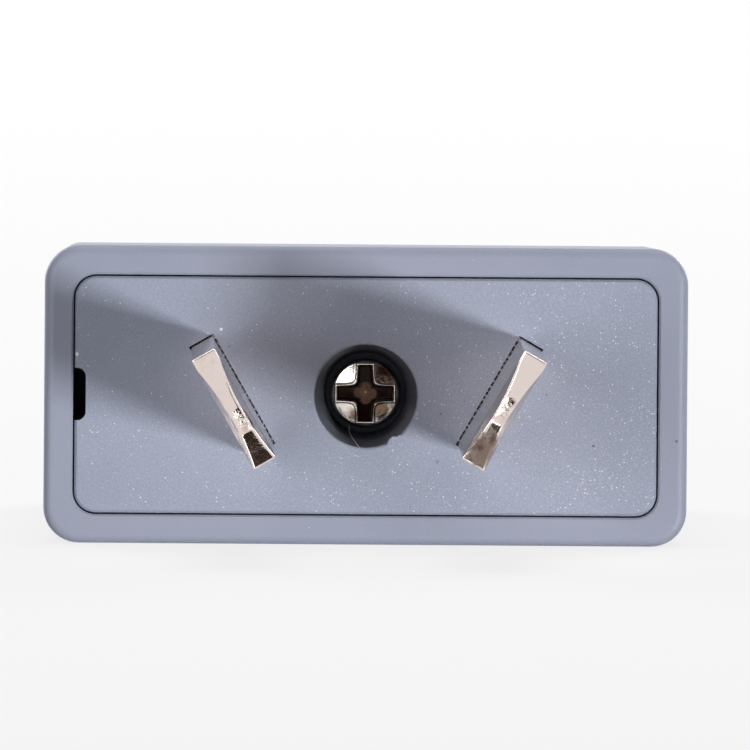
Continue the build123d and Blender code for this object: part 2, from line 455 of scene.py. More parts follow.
@dataclass(frozen=True)
class MouldedPlastic:
    """Grey-blue moulded plastic with the fine grain of an eroded tool."""

    name: str
    colour: Colour
    roughness: float
    grain: float  # pits to a millimetre
    grain_depth: float
    mottle: float  # how far the colour strays
    painted_glints: float  # share of cells with a painted glint, a pale dot that stands in for a sparkle of light
    painted_glint_lift: float
    marks: tuple[Mark, ...] = ()
    large_cells: float = 7.0  # cells of the painted glints to a millimetre
    small_cells: float = 15.0
    small_share: float = 2.2
    small_lift: float = 0.55
    rough_stray: float = 0.07
    gloss: float = 0.3  # the shader's specular level
    deep_shade: float = 0.0  # how strongly paint darkens the well and the slots, as deep shade would
    shade_colour: Colour = (0.024, 0.027, 0.037)
    shade_depths: Range = (0.04, 0.5)  # where the painted shade starts and is full
    crescent_heights: Range = (-2.5, -0.6)  # where the well's lighter lower wall starts and ends
    crescent_depths: Range = (1.4, 2.8)  # where that wall turns dark again
    crescent_shade: float = 0.45  # painted shade on that wall
    cloud_scale: float = 0.3  # clouds to a millimetre
    fine_scale: float = 2.3  # how much finer the second grain is than the pits
    tone_mix: tuple[float, float, float] = (0.55, 0.3, 0.15)  # shares of pits, fine grain and clouds
    tone_stops: tuple[float, float, float] = (0.36, 0.5, 0.64)  # tones of the darkest, plain and lightest
    sag_scale: float = 0.15  # soft waves in the surface to a millimetre
    sag_depth: float = 0.05
    sag_strength: float = 0.25
    glint_edge: Range = (0.15, 0.32)  # where a painted glint starts to fade and ends in its cell
    more_right: Range = (-10.0, 12.0)  # places across between which the painted glints grow in number
    more_below: Range = (6.0, -6.0)  # heights between which they do
    fewest: Range = (0.35, 0.6)  # share of them left at the far left, and at the top
    drift_scale: float = 0.35
    drift_range: Range = (0.25, 1.6)  # fewest and most painted glints in a drift
    haze: float = 0.05  # share of the light that goes into the plastic
    haze_reach: tuple[float, float, float] = (0.0005, 0.0006, 0.0009)  # metres, for each colour

    def draw_painted_glints(self, graph: Graph, scale: float, share: object, lift: float) -> Socket:
        """Painted glints: pale dots that stand in for sparkles of light, in cells drawn by lot, each with
        its own strength.

        Args:
            graph: The material's graph.
            scale: Cells to a millimetre.
            share: Share of the cells that hold a painted glint.
            lift: How strong the strongest painted glint is.

        Returns:
            The strength's socket.
        """
        cells = graph.add("TexVoronoi", {"Vector": graph.place, "Scale": scale / MM})
        lots = graph.add("SeparateColor", {"Color": cells.outputs["Color"]})
        near = graph.spread(cells.outputs["Distance"], *self.glint_edge, 1.0, 0.0)
        chosen = graph.math("LESS_THAN", lots.outputs[0], share)
        strength = graph.times(graph.math("POWER", lots.outputs[1], 2.0), lift)
        return graph.times(near, chosen, strength)

    def painted_glint_share(self, graph: Graph) -> Socket:
        """Share of cells with a painted glint: more to the right and below, in drifts."""
        where = graph.add("SeparateXYZ", {"Vector": graph.place})
        right = graph.spread(where.outputs["X"], *(at * MM for at in self.more_right), self.fewest[0], 1.0)
        low = graph.spread(where.outputs["Z"], *(at * MM for at in self.more_below), self.fewest[1], 1.0)
        drifts = graph.spread(graph.noise(self.drift_scale, 2.0), 0.35, 0.65, *self.drift_range)
        return graph.times(graph.times(right, low), graph.times(drifts, self.painted_glints))

    def shaded(self, graph: Graph) -> Socket:
        """Share of the painted shade: none on the face, more with depth, and less low on the well's wall."""
        where = graph.add("SeparateXYZ", {"Vector": graph.place})
        start, full = (depth * MM for depth in self.shade_depths)
        deep = graph.spread(where.outputs["Y"], start, full)
        low, high = (height * MM for height in self.crescent_heights)
        above = graph.spread(where.outputs["Z"], low, high, self.crescent_shade, 1.0)
        fades, ends = (depth * MM for depth in self.crescent_depths)
        at_bottom = graph.spread(where.outputs["Y"], fades, ends)
        return graph.times(deep, graph.math("MAXIMUM", above, at_bottom), self.deep_shade)

    def material(self) -> bpy.types.Material:
        """Builds the finish: cloudy colour, pitted grain, scattered painted glints and marks.

        Returns:
            The material.
        """
        graph = Graph(self.name)
        clouds = graph.noise(self.cloud_scale, 3.0, 0.6)
        pits = graph.noise(self.grain, 3.0, 0.7)
        fine = graph.noise(self.grain * self.fine_scale, 1.0)
        of_pits, of_fine, of_clouds = self.tone_mix
        tone = graph.math("ADD", graph.times(pits, of_pits), graph.times(fine, of_fine))
        tone = graph.math("ADD", tone, graph.times(clouds, of_clouds))
        darker, lighter = shade(self.colour, 1 - self.mottle), shade(self.colour, 1 + self.mottle)
        dark_at, plain_at, light_at = self.tone_stops
        colour = graph.ramp(tone, [(dark_at, darker), (plain_at, self.colour), (light_at, lighter)])
        share = self.painted_glint_share(graph)
        large = self.draw_painted_glints(graph, self.large_cells, share, self.painted_glint_lift)
        more = graph.times(share, self.small_share)
        small = self.draw_painted_glints(graph, self.small_cells, more, self.painted_glint_lift * self.small_lift)
        # Painted glints: pale dots laid into the colour in place of sparkles of light on the grain.
        colour = graph.blend(graph.math("ADD", large, small, clamp=True), colour, PALE)
        for mark in self.marks:
            colour = mark.paint(graph, colour)
        if self.deep_shade > 0.0:
            colour = graph.blend(self.shaded(graph), colour, self.shade_colour)
        dull, smooth = self.roughness + self.rough_stray, self.roughness - self.rough_stray
        rough = graph.spread(pits, 0.3, 0.7, dull, smooth)
        grainy = graph.bump(pits, self.grain_depth)
        normal = graph.bump(graph.noise(self.sag_scale, 2.0), self.sag_depth, self.sag_strength, grainy)
        return graph.finish(
            Base_Color=colour,
            Roughness=rough,
            Normal=normal,
            IOR=1.5,
            Specular_IOR_Level=self.gloss,
            Subsurface_Weight=self.haze,
            Subsurface_Radius=self.haze_reach,
            Subsurface_Scale=1.0,
        )


@dataclass(frozen=True)
class PlatedMetal:
    """Bright plating over brass or steel, with drawn lines and dull patches."""

    name: str
    colour: Colour
    worn: Colour
    roughness: float
    line_depth: float
    dent_depth: float
    marks: tuple[Mark, ...] = ()
    tears: tuple[Tear, ...] = ()
    shade_paint_below: float | None = None  # depth past which dark paint stands in for the recess's deep shade
    shade_paint: Colour = (0.022, 0.008, 0.005)
    shade_paint_rags: float = 0.12  # how far the painted shade's upper edge strays
    shade_paint_fade: float = 0.16
    cover_gloss: float = 0.1  # the shader's specular level where the painted shade or a film mark hides the metal
    shade_paint_scale: float = 4.0  # rags of that edge to a millimetre
    line_stretch: float = 0.06
    line_scale: float = 9.0  # lines to a millimetre
    dent_scale: float = 2.4
    patch_scale: float = 0.9
    patch_blur: Range = (0.7, 1.4)  # roughness of the brightest and the dullest patch, as shares
    worn_patches: Range = (0.5, 0.8)  # where the worn colour starts and is full

    def lines(self, graph: Graph) -> Socket:
        """Fine drawn lines: noise stretched along Y, the way the pins and the screw point."""
        drawn = graph.add("Mapping", {"Vector": graph.place, "Scale": (1.0, self.line_stretch, 1.0)})
        return graph.noise(self.line_scale, 3.0, 0.6, drawn.outputs[0])

    def cover(self, graph: Graph, colour: Socket) -> tuple[Socket, object]:
        """Lays the recess's painted shade and the marks over the plating, where they hide the metal.

        Args:
            graph: The material's graph.
            colour: The plating's colour.

        Returns:
            The colour's socket, and the share of bare metal.
        """
        bare: object = 1.0
        if self.shade_paint_below is not None:
            # Painted shade: past a depth the recess is painted near-black, in place of the shade deep in it.
            depth = graph.add("SeparateXYZ", {"Vector": graph.place}).outputs["Y"]
            stray = graph.times(graph.noise(self.shade_paint_scale, 2.0), self.shade_paint_rags * MM)
            ragged = graph.math("ADD", depth, stray)
            start = self.shade_paint_below * MM
            in_shade = graph.spread(ragged, start, start + self.shade_paint_fade * MM)
            colour = graph.blend(in_shade, colour, self.shade_paint)
            bare = graph.math("SUBTRACT", 1.0, in_shade)
        for mark in self.marks:
            colour = mark.paint(graph, colour)
            if mark.film:
                bare = graph.times(bare, graph.math("SUBTRACT", 1.0, mark.share(graph)))
        return colour, bare

    def material(self) -> bpy.types.Material:
        """Builds the finish: drawn lines, soft dents, dull patches and torn places.

        Returns:
            The material.
        """
        graph = Graph(self.name)
        patches = graph.noise(self.patch_scale, 3.0, 0.6)
        rough = graph.spread(patches, 0.3, 0.7, *(self.roughness * share for share in self.patch_blur))
        normal = graph.bump(self.lines(graph), self.line_depth)
        normal = graph.bump(graph.noise(self.dent_scale, 2.0, 0.6), self.dent_depth, 1.0, normal)
        for tear in self.tears:
            normal = tear.tilt(graph, normal)
            rough = tear.roughen(graph, rough)
        dulled = graph.blend(graph.spread(patches, *self.worn_patches), self.colour, self.worn)
        colour, bare = self.cover(graph, dulled)
        return graph.finish(
            Base_Color=colour,
            Metallic=bare,
            Roughness=rough,
            Normal=normal,
            Specular_IOR_Level=self.cover_gloss,
        )


@dataclass(frozen=True)
class Finishes:
    """Every finish of the adapter."""

    housing: MouldedPlastic = MouldedPlastic(
        name="satin_housing",
        colour=(0.325, 0.350, 0.448),
        roughness=0.45,
        grain=11.0,
        grain_depth=0.005,
        mottle=0.05,
        painted_glints=0.02,
        painted_glint_lift=0.5,
        marks=(Mark((15.93, 0.0, -2.2), 0.09, BLACK, 0.6),),
    )
    plate: MouldedPlastic = MouldedPlastic(
        name="eroded_plate",
        colour=(0.345, 0.378, 0.480),
        roughness=0.46,
        grain=8.0,
        grain_depth=0.018,
        mottle=0.13,
        painted_glints=0.30,
        painted_glint_lift=1.0,
        large_cells=8.0,
        small_cells=15.0,
        small_share=2.6,
        small_lift=0.7,
        gloss=0.18,
        deep_shade=0.85,
        marks=(
            # The two pale marks are painted glints: sparkles of light on the grain, painted as pale dots.
            Mark((-14.84, 0.0, 2.05), 0.14, PALE, 0.9),
            Mark((-7.44, 0.0, 3.38), 0.1, PALE, 1.0),
            Mark((-7.03, 0.0, 2.52), 0.05, BLACK),
            Mark((3.84, 0.0, -0.88), 0.05, BLACK),
            Mark((11.68, 0.0, -2.46), 0.07, BLACK),
            Mark((3.69, 0.0, -3.34), 0.12, BROWN, 0.35),
            Mark((9.27, 0.0, 0.13), 0.08, BROWN, 0.5),
        ),
    )
    hair: MouldedPlastic = MouldedPlastic(
        name="pale_hair",
        colour=(0.66, 0.66, 0.70),
        roughness=0.5,
        grain=20.0,
        grain_depth=0.001,
        mottle=0.10,
        painted_glints=0.0,
        painted_glint_lift=0.0,
    )
    blade: PlatedMetal = PlatedMetal(
        name="nickel_plate",
        colour=(0.72, 0.63, 0.59),
        worn=(0.60, 0.50, 0.44),
        roughness=0.10,
        line_depth=0.001,
        dent_depth=0.005,
        marks=(
            Mark((7.23, -17.2, 0.42), 0.3, BROWN, 0.6, 0.2),
            Mark((-6.2, -17.2, -1.0), 0.32, (0.36, 0.20, 0.12), 0.7, 0.2),
            Mark((-5.5, -17.2, -2.35), 0.5, BROWN, 0.6, 0.2),
            # Painted reflection: these three film marks lay the dim brown that the right pin's lower end
            # reflects over its metal.
            Mark((5.8, -17.2, -1.95), 1.15, (0.17, 0.11, 0.08), 0.85, 0.5, True, 0.45),
            Mark((6.2, -17.2, -1.3), 0.45, (0.08, 0.045, 0.03), 0.75, 0.2, True, 0.35),
            Mark((5.6, -17.2, -1.85), 0.40, (0.07, 0.04, 0.03), 0.75, 0.2, True, 0.35),
        ),
        tears=(
            Tear((-6.3, -17.2, -0.6), 0.75, 0.08, 3.4),
            Tear((-5.75, -17.2, -1.9), 1.3, 0.02, 2.6, 0.03),
            Tear((7.05, -17.2, 0.0), 0.7, 0.07, 3.2),
            Tear((6.05, -17.2, -1.6), 1.4, 0.022, 2.2, 0.1),
        ),
    )
    spring: PlatedMetal = PlatedMetal(
        name="spring_brass",
        colour=(0.80, 0.60, 0.30),
        worn=(0.56, 0.38, 0.17),
        roughness=0.30,
        line_depth=0.003,
        dent_depth=0.004,
    )
    rivet: PlatedMetal = PlatedMetal(
        name="rivet_brass",
        colour=(0.76, 0.58, 0.32),
        worn=(0.50, 0.36, 0.18),
        roughness=0.35,
        line_depth=0.002,
        dent_depth=0.004,
    )
    screw: PlatedMetal = PlatedMetal(
        name="screw_plate",
        colour=(0.74, 0.68, 0.63),
        worn=(0.42, 0.32, 0.24),
        roughness=0.15,
        line_depth=0.001,
        dent_depth=0.008,
        marks=(
            # Painted light: the blunt point in the recess is painted a lighter brown, with a pale dot at its
            # tip, for the light that it catches.
            *(Mark((x, 4.1, z), 0.34, (0.40, 0.25, 0.17), 1.0, 0.7, True) for x, z in POINT_LOBES),
            Mark((0.02, 4.06, 0.05), 0.07, PALE, 1.0, 0.4, True),
            Mark((0.95, 3.5, 0.95), 0.75, (0.16, 0.09, 0.06), 0.9, 0.5),
            Mark((0.72, 3.5, -0.82), 0.62, (0.13, 0.08, 0.05), 0.95, 0.6),
            Mark((-0.55, 3.5, -1.05), 0.34, (0.18, 0.10, 0.07), 0.9, 0.4),
        ),
        tears=(
            Tear((0.85, 3.5, -0.85), 0.9, 0.03, 2.6),
            Tear((-0.7, 3.5, -1.0), 0.7, 0.03, 3.0),
            Tear((0.9, 3.5, 0.9), 0.9, 0.02, 2.4),
        ),
        # The recess is painted dark past this depth, as painted shade.
        shade_paint_below=3.72,
    )


def dress(piece: bpy.types.Object, material: bpy.types.Material) -> None:
    """Gives every material slot of a piece the same finish."""
    if not piece.material_slots:
        piece.data.materials.append(material)
    for slot in piece.material_slots:
        slot.material = material


def fit_piece(piece: bpy.types.Object, material: bpy.types.Material) -> bpy.types.Object:
    """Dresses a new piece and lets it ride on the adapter.

    Args:
        piece: The new piece.
        material: Its finish.

    Returns:
        The piece.
    """
    dress(piece, material)
    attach(piece, BODY)
    return piece


# Flat pins


@dataclass
class FlatPin:
    """A flat pin: a slanted blade whose inner end is folded outwards into a riveted foot.

    A point of the blade is worked out from its distance along the folded middle line, its
    place across the width and its place through the thickness.
    """

    side: Side
    middle: float = 6.85
    lean: float = 30.0
    width: float = 6.35
    thickness: float = 1.3
    length: float = 17.3
    fold_start: float = 1.5
    fold_radius: float = 0.5
    foot_reach: float = 4.4
    foot_clip: float = 1.6
    hollow_length: float = 1.2
    hollow_depth: float = 0.33
    hollow_half: float = 3.0
    hollow_shift: float = -0.3
    rivet: tuple[float, float] = (9.6, 0.0)
    rivet_hole: float = 0.82
    rivet_sink: float = 1.32
    edge_round: float = 0.09
    dish_depth: float = 0.25
    dish_middle: float = -0.6  # place across the width where the end face is sunk most
    dish_reach: float = 2.4  # how far along the blade the sinking still shows
    dish_powers: Range = (1.5, 1.15)  # how the sinking falls off above and below its middle
    dish_slant: float = 0.1  # fall of the lower end face towards the adapter's middle
    slant_blend: float = 0.3  # width over which that fall sets in
    finish: PlatedMetal = field(default_factory=lambda: Finishes().blade)

    def axes(self) -> tuple[np.ndarray, np.ndarray]:
        """Directions across the width and outwards through the thickness.

        Returns:
            Two unit vectors, for the pin on this side.
        """
        tilt = math.radians(self.lean)
        across = np.array([self.side.value * math.sin(tilt), 0.0, math.cos(tilt)])
        outward = np.array([self.side.value * math.cos(tilt), 0.0, -math.sin(tilt)])
        return across, outward

    def stations(self) -> np.ndarray:
        """Distances along the middle line: close together at the tip, the fold and the rivet."""
        turn = (self.fold_radius + self.thickness / 2) * math.pi / 2
        straight = self.length + self.fold_start
        foot = self.foot_reach - self.fold_radius - self.thickness / 2
        rounded = self.near_edge()
        tip = np.linspace(rounded[-1], self.hollow_length * 1.25, 28)[1:]
        blade = np.linspace(tip[-1], straight, 40)[1:]
        fold = straight + np.linspace(0.0, turn, 13)[1:]
        end = straight + turn + np.linspace(0.0, foot, 37)[1:]
        return np.concatenate([rounded, tip, blade, fold, end])

    def near_edge(self) -> np.ndarray:
        """Distances from an edge that land at even steps on its rounding."""
        steps = np.linspace(0.0, math.pi / 4, 4)
        return self.edge_round * np.append(1.0 - np.tan(steps[::-1]), 1.0 + 0.2)

    def shares(self, length: float, count: int) -> np.ndarray:
        """Places from -1 to 1 over a length, with those near both ends set by the rounding.

        Args:
            length: The length that the range stands for.
            count: How many even places lie between the rounded ends.

        Returns:
            The places in rising order.
        """
        low = 2.0 * self.near_edge() / length - 1.0
        middle = np.linspace(low[-1], -low[-1], count)[1:-1]
        return np.concatenate([low, middle, -low[::-1]])

    def middle_line(self, along: np.ndarray) -> tuple[np.ndarray, np.ndarray, np.ndarray, np.ndarray]:
        """The folded line: straight in, a quarter circle, straight out.

        Args:
            along: Distances from the tip.

        Returns:
            Outward place and depth of the line, then how far the thickness direction
            points outwards and how far towards the pin side.
        """
        radius = self.fold_radius + self.thickness / 2
        straight = self.length + self.fold_start
        turn = np.clip((along - straight) / radius, 0.0, math.pi / 2)
        beyond = np.maximum(along - straight - radius * math.pi / 2, 0.0)
        outward = radius * (1.0 - np.cos(turn)) + beyond
        depth = np.minimum(along, straight) - self.length + radius * np.sin(turn)
        return outward, depth, np.cos(turn), np.sin(turn)

    def half_thickness(self, along: np.ndarray, across: np.ndarray) -> np.ndarray:
        """Half the thickness, less near the tip where both broad sides are hollowed.

        The cut is deepest in the middle of the width, falls off with the square of the
        distance from there, and runs out in a straight line along the blade.

        Args:
            along: Distances from the tip.
            across: Places across the width.

        Returns:
            Half thicknesses.
        """
        bowl = 1.0 - ((across - self.hollow_shift) / self.hollow_half) ** 2
        slope = self.hollow_depth / self.hollow_length
        cut = np.maximum(self.hollow_depth * bowl - slope * along, 0.0)
        return self.thickness / 2 - cut

    def low_edge(self, outward: np.ndarray) -> np.ndarray:
        """Lower edge of the strip: level on the blade, clipped in a straight line on the foot."""
        start = self.fold_radius + self.thickness / 2
        return np.interp(outward, [start, self.foot_reach], [-self.width / 2, -self.foot_clip])

    def dish(self, across: np.ndarray, through: np.ndarray) -> np.ndarray:
        """How far the end face is sunk: most below the middle, and nothing at its two ends.

        The fall follows a power of the distance from the deepest place. Above, the power is
        one and a half, so the face turns down slowly. Below, it is near one, so the face
        turns up at once, and there it also falls a little towards the adapter's middle.

        Args:
            across: Places across the width.
            through: Places through the thickness.

        Returns:
            Depths.
        """
        half = self.width / 2
        above = across > self.dish_middle
        reach = np.where(above, half - self.dish_middle, half + self.dish_middle)
        away = np.minimum(np.abs(across - self.dish_middle) / reach, 1.0)
        bowl = self.dish_depth * (1.0 - away ** np.where(above, *self.dish_powers))
        lower = smooth_step((self.dish_middle - across) / self.slant_blend + 0.5)
        return bowl + self.dish_slant * lower * (self.thickness / 2 - through)

    def rounded(
        self, along: np.ndarray, low: np.ndarray, across: np.ndarray, through: np.ndarray
    ) -> np.ndarray:
        """Eases the edges of the tip and the long edges to quarter circles.

        A point's distances from the three nearest sides are held to at least the radius,
        which gives the middle of its rounding. The point is then put one radius from there.

        Args:
            along: Distances from the tip.
            low: The lower edge's place across, at each point.
            across: Places across the width.
            through: Places through the thickness.

        Returns:
            How far each point moves along, across and through, N by 3.
        """
        radius = self.edge_round
        thick = self.half_thickness(along, across)
        to_low = across - low
        to_high = self.width / 2 - across
        aside = np.minimum(to_low, to_high)
        inward = np.where(to_low < to_high, 1.0, -1.0)
        depth = np.stack([along, aside, thick - np.abs(through)], axis=1)
        on_skin = np.min(np.abs(depth), axis=1) < 1e-6
        middle = np.maximum(depth, radius)
        away = depth - middle
        length = np.linalg.norm(away, axis=1, keepdims=True)
        eased = middle + away / np.maximum(length, 1e-9) * radius
        shift = np.where((on_skin & (length[:, 0] > 0))[:, None], eased - depth, 0.0)
        return np.stack([shift[:, 0], shift[:, 1] * inward, -shift[:, 2] * np.sign(through)], axis=1)

    def mesh(self) -> tuple[np.ndarray, np.ndarray]:
        """Bends and cuts a block of cells into the pin, with the rivet's hole left out.

        Returns:
            Vertices and quads.
        """
        stations = self.stations()
        columns = self.shares(self.width, 49)
        layers = self.shares(self.thickness, 7)
        across_dir, outward_dir = self.axes()
        offset = np.array([self.side.value * (self.rivet[0] - self.middle), 0.0, self.rivet[1]])
        hole_across = float(offset @ across_dir)
        hole_out = float(offset @ outward_dir)
        half = self.width / 2

        line_out, _, _, _ = self.middle_line(stations)
        mid_out = (line_out[:-1] + line_out[1:]) / 2
        in_rows = (np.abs(mid_out - hole_out) < self.rivet_hole) & (stations[:-1] > self.length)
        mid_low = (self.low_edge(line_out[:-1]) + self.low_edge(line_out[1:])) / 2
        shares = (columns[:-1] + columns[1:] + 2) / 4
        places = mid_low[:, None] + (half - mid_low[:, None]) * shares[None, :]
        hole = in_rows[:, None] & (np.abs(places - hole_across) < self.rivet_hole)
        filled = np.repeat(~hole[:, :, None], len(layers) - 1, axis=2)
        used, quads = block_surface(filled)

        along = stations[used[:, 0]]
        share = (columns[used[:, 1]] + 1) / 2
        layer = layers[used[:, 2]]
        outward, depth, face_out, face_in = self.middle_line(along)
        low = self.low_edge(outward)
        across = low + (half - low) * share
        # Cells round the rivet are drawn from a square onto the hole's sunk circle
        d_out = outward - hole_out
        d_across = across - hole_across
        square = np.maximum(np.maximum(np.abs(d_out), np.abs(d_across)), 1e-9)
        reach = np.hypot(d_out, d_across)
        below = (1.0 - layer) * self.thickness / 2
        hole_at = np.maximum(self.rivet_sink - below, self.rivet_hole)
        away = np.clip(square / self.rivet_hole - 1.0, 0.0, 1.0)
        rounded = hole_at * (1.0 - away) + 2.0 * self.rivet_hole * away * reach / square
        near = (square < 2.0 * self.rivet_hole) & (depth > self.fold_start)
        scale = np.where(near, rounded / np.maximum(reach, 1e-9), 1.0)
        outward_at = hole_out + d_out * scale
        across_at = hole_across + d_across * scale
        through = layer * self.half_thickness(along, across)
        eased = self.rounded(along, low, across, through)
        through = through + eased[:, 2]
        at_end = np.clip(1.0 - along / self.dish_reach, 0.0, 1.0)
        depth_at = depth + eased[:, 0] + at_end * self.dish(across, through)
        points = (
            np.array([self.side.value * self.middle, 0.0, 0.0])
            + (across_at + eased[:, 1])[:, None] * across_dir
            + (outward_at + through * face_out)[:, None] * outward_dir
        )
        points[:, 1] += depth_at - through * face_in
        return points, quads

    def build(self) -> bpy.types.Object:
        """Makes the pin and lets it stand for its solid.

        Returns:
            The piece.
        """
        piece = make_piece(f"flat_pin_{self.side.word}", *self.mesh(), smooth_angle=40.0)
        fit_piece(piece, self.finish.material())
        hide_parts(f"blade_{self.side.word}")
        return piece


# Case screw


@dataclass
class CaseScrew:
    """The cross-head screw at the bottom of the well, with its thread in the column."""

    head_top: float = 3.4
    head_radius: float = 1.75
    seat: float = 4.7
    dome: float = 0.12
    lean: float = 1.6  # degrees that the head looks down
    rim_round: float = 0.16
    cross_half: float = 1.47
    wing_half: float = 0.40
    corner_ease: float = 0.17
    wall_width: float = 0.12
    wing_taper: float = 0.06  # share of its width that a wing loses towards its end
    cross_depth: float = 0.95
    floor_rise: float = 0.4
    point_reach: float = 0.744
    point_rise: float = 0.3
    lip: float = 0.03
    lip_offset: float = 0.05  # how far outside the recess the lip's crest runs
    lip_blur: float = 0.0022  # square of the distance at which the lip has fallen away
    shank_crest: float = 1.0
    shank_core: float = 0.78
    thread_pitch: float = 0.8
    thread_fade: float = 0.5  # length over which the thread rises under the head
    tip: float = 12.7
    tip_taper: float = 0.6
    finish: PlatedMetal = field(default_factory=lambda: Finishes().screw)

    def recess(self, x: np.ndarray, z: np.ndarray) -> np.ndarray:
        """Depth of the cross recess: two crossed bars with steep walls and a sloping floor.

        A bar's distance is how far a point lies inside its nearest edge. The two distances
        are joined by the logarithm of the sum of their exponentials, which rounds the inner
        corners. The floor falls towards the middle, where a blunt four-sided point rises,
        and a thin lip stands round the edge.

        Args:
            x: Places across the head.
            z: Places up the head.

        Returns:
            Depths in millimetres.
        """
        spread = np.hypot(x, z)
        inside = []
        for along, across in ((x, z), (z, x)):
            wing = self.wing_half * (1.0 - self.wing_taper * np.abs(along) / self.cross_half)
            inside.append(np.minimum(wing - np.abs(across), self.cross_half - np.abs(along)))
        ease = self.corner_ease
        joined = ease * np.logaddexp(inside[0] / ease, inside[1] / ease)
        wall = smooth_step(joined / self.wall_width)
        floor = self.cross_depth - self.floor_rise * np.clip(spread / self.cross_half, 0.0, 1.0)
        point = self.point_rise * smooth_step(1.0 - (np.abs(x) + np.abs(z)) / self.point_reach)
        lip = self.lip * np.exp(-((joined + self.lip_offset) ** 2) / self.lip_blur)
        return wall * (floor - point) - lip

    def mesh(self) -> tuple[np.ndarray, np.ndarray]:
        """Turns the screw's outline about its axis, then sinks the recess and lifts the thread.

        The head's top is a shallow dome and its rim a quarter circle. The thread is a ridge
        whose height follows the place along the axis less the turn round it.

        Returns:
            Vertices and quads.
        """
        around = 288
        angle = np.linspace(0.0, 2 * math.pi, around, endpoint=False)
        flat = self.head_radius - self.rim_round
        top_r = np.linspace(0.0, flat, 112)
        top_y = self.head_top + self.dome * (top_r / self.head_radius) ** 2
        bend = np.linspace(0.0, math.pi / 2, 20)[1:]
        rim_r = flat + self.rim_round * np.sin(bend)
        rim_y = top_y[-1] + self.rim_round * (1.0 - np.cos(bend))
        under_r = np.array([self.head_radius, self.shank_core + 0.02])
        under_y = np.array([self.seat, self.seat])
        shank_y = np.linspace(self.seat + 0.05, self.tip - self.tip_taper, 150)
        point_r = np.array([self.shank_core * 0.6, 0.0])
        point_y = np.array([self.tip - 0.05, self.tip])
        radius = np.concatenate([top_r, rim_r, under_r, np.full(len(shank_y), self.shank_core), point_r])
        depth = np.concatenate([top_y, rim_y, under_y, shank_y, point_y])

        turns = (depth[:, None] - self.seat) / self.thread_pitch - angle[None, :] / (2 * math.pi)
        ridge = 1.0 - np.abs(2.0 * (turns - np.floor(turns)) - 1.0)
        starts = smooth_step((depth - self.seat) / self.thread_fade)
        fade = starts * smooth_step((self.tip - 0.35 - depth) / self.tip_taper)
        height = (self.shank_crest - self.shank_core) * np.clip(ridge * 1.6 - 0.3, 0.0, 1.0)
        on_shank = np.zeros(len(depth))
        on_shank[-len(shank_y) - 2 : -2] = 1.0
        around_r = radius[:, None] + height * (fade * on_shank)[:, None]
        x = around_r * np.cos(angle)
        z = around_r * np.sin(angle)
        on_top = np.zeros(len(depth))
        on_top[: len(top_r) + 6] = 1.0
        leaning = smooth_step((self.seat - depth) / (self.seat - self.head_top))
        y = depth[:, None] + self.recess(x, z) * on_top[:, None]
        y = y - math.tan(math.radians(self.lean)) * z * leaning[:, None]
        return closed_turning(np.stack([x, y, z], axis=-1))

    def build(self) -> bpy.types.Object:
        """Makes the screw and lets it stand for its solid.

        Returns:
            The piece.
        """
        piece = make_piece("cross_head_screw", *self.mesh(), smooth_angle=60.0)
        fit_piece(piece, self.finish.material())
        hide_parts("case_screw")
        return piece


# Small leavings of the moulding


@dataclass
class Whisker:
    """A pale plastic whisker that lies from the screw's head over the edge of the well."""

    thickness: float = 0.05
    path: tuple[Place, ...] = (
        (-0.80, 3.55, -1.62),
        (-0.80, 2.70, -1.95),
        (-0.70, 1.60, -2.15),
        (-0.52, 0.70, -2.38),
        (-0.27, -0.03, -2.68),
    )

    def mesh(self) -> tuple[np.ndarray, np.ndarray]:
        """Carries a small ring along a smooth curve, shrinking to a point at both ends.

        The curve runs through the path by a polynomial of its own degree in each axis, and
        the rings stand across the curve's direction.

        Returns:
            Vertices and quads.
        """
        knots = np.array(self.path)
        at = np.linspace(0.0, 1.0, len(knots))
        fits = [np.polyfit(at, knots[:, i], len(knots) - 1) for i in range(3)]
        t = np.linspace(0.0, 1.0, 48)
        line = np.stack([np.polyval(f, t) for f in fits], axis=1)
        ahead = np.gradient(line, axis=0)
        ahead /= np.linalg.norm(ahead, axis=1, keepdims=True)
        side = np.cross(ahead, (1.0, 0.0, 0.0))
        side /= np.linalg.norm(side, axis=1, keepdims=True)
        other = np.cross(ahead, side)
        angle = np.linspace(0.0, 2 * math.pi, 10, endpoint=False)
        thick = self.thickness / 2 * np.sqrt(np.clip(4 * t * (1 - t) * 6, 0.0, 1.0))
        ring = np.cos(angle)[None, :, None] * side[:, None] + np.sin(angle)[None, :, None] * other[:, None]
        return closed_turning(line[:, None] + thick[:, None, None] * ring)

    def build(self, finish: bpy.types.Material) -> bpy.types.Object:
        """Makes the whisker.

        Args:
            finish: Its material.

        Returns:
            The piece.
        """
        return fit_piece(make_piece("well_whisker", *self.mesh()), finish)


